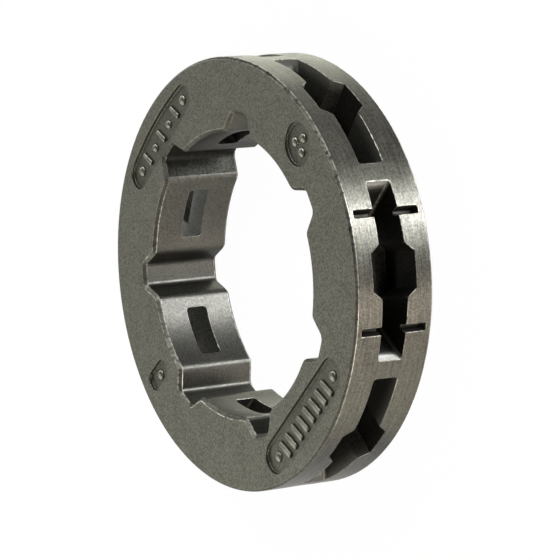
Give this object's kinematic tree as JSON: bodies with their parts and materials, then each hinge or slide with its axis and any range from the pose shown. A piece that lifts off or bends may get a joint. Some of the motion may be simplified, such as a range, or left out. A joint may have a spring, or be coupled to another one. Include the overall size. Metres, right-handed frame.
{
  "type": "chainsaw rim sprocket",
  "caption": "Cast steel chainsaw rim sprocket: a flat ring with a splined bore, drive-link pockets round its rim, wear-indicator cuts and shallow marking recesses on one face.",
  "frame": {"origin": "centre of the ring on its plain face, which rests on the floor", "axes": "+Z along the ring's axis, from the plain face to the marked face; +X through the drive pocket that has the wear cuts"},
  "size_m": [0.0366, 0.0366, 0.0076],
  "materials": {
    "cast_steel": "as-cast dark grey steel with fine grain; the rim's running surface is ground bright"
  },
  "bodies": {
    "root": {"rim_sprocket": "cast_steel"}
  },
  "joints": []
}
